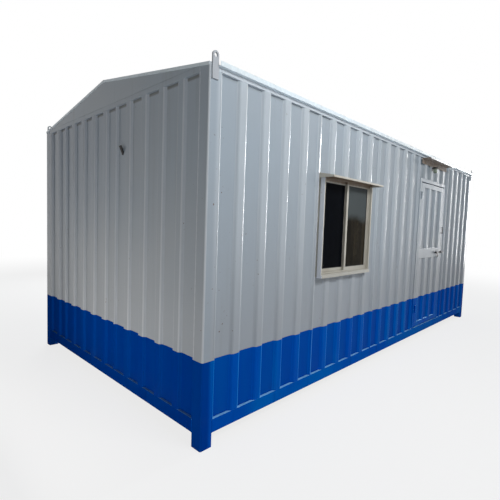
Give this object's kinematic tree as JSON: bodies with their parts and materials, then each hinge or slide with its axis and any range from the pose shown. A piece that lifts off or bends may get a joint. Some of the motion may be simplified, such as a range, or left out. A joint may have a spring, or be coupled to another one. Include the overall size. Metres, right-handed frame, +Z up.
{
  "type": "portable site cabin",
  "caption": "Steel portable site cabin with corrugated walls, shallow gable roof, hinged door with sliding bolt, two-pane sliding window and rain hoods.",
  "frame": {"origin": "middle of the overall box, at ground level under the feet", "axes": "+X along the length from the plain end wall towards the door end, +Y from the front with the door to the back, +Z up"},
  "size_m": [6.118, 3.23, 2.8533],
  "materials": {
    "wall_paint": "gloss enamel, light grey-white over a blue foot",
    "blue_paint": "gloss blue enamel",
    "roof_paint": "gloss enamel",
    "cream_paint": "satin enamel",
    "canopy_steel": "primed steel with rust",
    "hinge_paint": "painted over",
    "window_alloy": "anodised",
    "window_glass": "dark tint",
    "lamp_glass": "frosted",
    "lining_board": "laminated board",
    "floor_board": "sealed ply",
    "bolt_iron": "dark oiled",
    "black_plastic": "matt"
  },
  "bodies": {
    "cabin": {"bottom_rails_long": "blue_paint", "bottom_rails_short": "blue_paint", "floor_joists": "blue_paint", "floor_board": "floor_board", "corner_posts": "wall_paint", "front_wall_left": "wall_paint", "front_wall_under_window": "wall_paint", "front_wall_over_window": "wall_paint", "front_wall_middle": "wall_paint", "front_wall_over_door": "wall_paint", "front_wall_right": "wall_paint", "back_wall": "wall_paint", "left_end_wall": "wall_paint", "right_end_wall": "wall_paint", "front_lining": "lining_board", "back_lining": "lining_board", "end_linings": "lining_board", "ceiling": "lining_board", "top_rails_long": "wall_paint", "top_rails_short": "wall_paint", "gable_plates": "wall_paint", "roof_front": "roof_paint", "roof_back": "roof_paint", "ridge_cap": "roof_paint", "eave_trims": "roof_paint", "barge_trims": "roof_paint", "lifting_lugs": "wall_paint", "window_frame": "cream_paint", "window_track": "window_alloy", "window_sashes": "window_alloy", "window_glass": "window_glass", "window_hood": "cream_paint", "door_jambs": "wall_paint", "door_head": "wall_paint", "hinge_jamb_halves": "hinge_paint", "bolt_keeper": "bolt_iron", "door_canopy": "canopy_steel", "lamp_holder": "black_plastic", "lamp_globe": "lamp_glass", "cable_inlet": "black_plastic"},
    "door": {"door_leaf_frame": "wall_paint", "door_panels": "wall_paint", "door_inner_skin": "lining_board", "hinge_door_halves": "hinge_paint", "bolt_guides": "bolt_iron", "door_pull": "bolt_iron"},
    "bolt": {"door_bolt": "bolt_iron"}
  },
  "joints": [
    {"name": "door_hinge", "type": "hinge", "parent": "cabin", "child": "door", "pos_m": [0.6935, -1.476, 1.2], "axis": [0, 0, -1], "range_deg": [0, 165]},
    {"name": "bolt_slide", "type": "slide", "parent": "door", "child": "bolt", "axis": [1, 0, 0], "range_m": [0, 0.055]}
  ]
}
